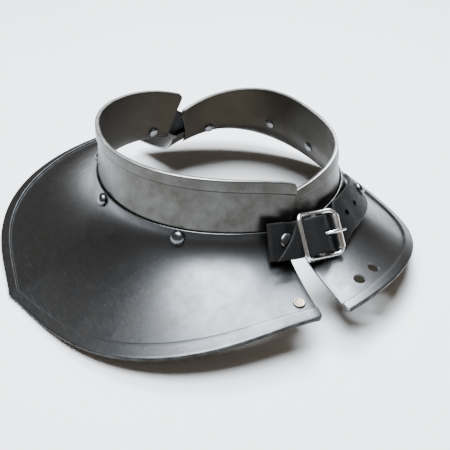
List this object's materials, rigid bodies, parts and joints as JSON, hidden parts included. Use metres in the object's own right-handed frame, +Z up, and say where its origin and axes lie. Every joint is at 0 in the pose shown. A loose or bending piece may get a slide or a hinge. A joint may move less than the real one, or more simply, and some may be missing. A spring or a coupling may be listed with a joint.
{
  "type": "steel gorget",
  "caption": "Steel neck guard in two halves with raised collars and flared yokes, a leather hinge and a buckled strap.",
  "frame": {"origin": "bottom middle of the whole box, on the surface that the gorget lies on", "axes": "+Z up through the neck opening, -Y towards the wearer's front, +X towards the wearer's left where the buckle is"},
  "size_m": [0.274, 0.2702, 0.087],
  "materials": {
    "satin_steel": "satin, brushed and lightly scratched",
    "rivet_steel": "satin domes",
    "bright_nickel": "bright plated",
    "stud_brass": "dull, hammered end",
    "black_leather": "matte, fine grain"
  },
  "bodies": {
    "root": {"front_yoke": "satin_steel", "back_yoke": "satin_steel", "front_collar": "satin_steel", "back_collar": "satin_steel", "front_rivet_middle": "rivet_steel", "front_rivet_left": "rivet_steel", "front_rivet_right": "rivet_steel", "back_rivet_middle": "rivet_steel", "back_rivet_right": "rivet_steel", "closing_strap": "black_leather", "buckle_chape": "black_leather", "hinge_strap": "black_leather", "buckle_frame": "bright_nickel", "buckle_roller": "bright_nickel", "buckle_prong": "bright_nickel", "chape_rivet": "rivet_steel", "strap_rivet": "rivet_steel", "hinge_rivet_front": "rivet_steel", "hinge_rivet_back": "rivet_steel", "locking_stud": "stud_brass"}
  },
  "joints": []
}
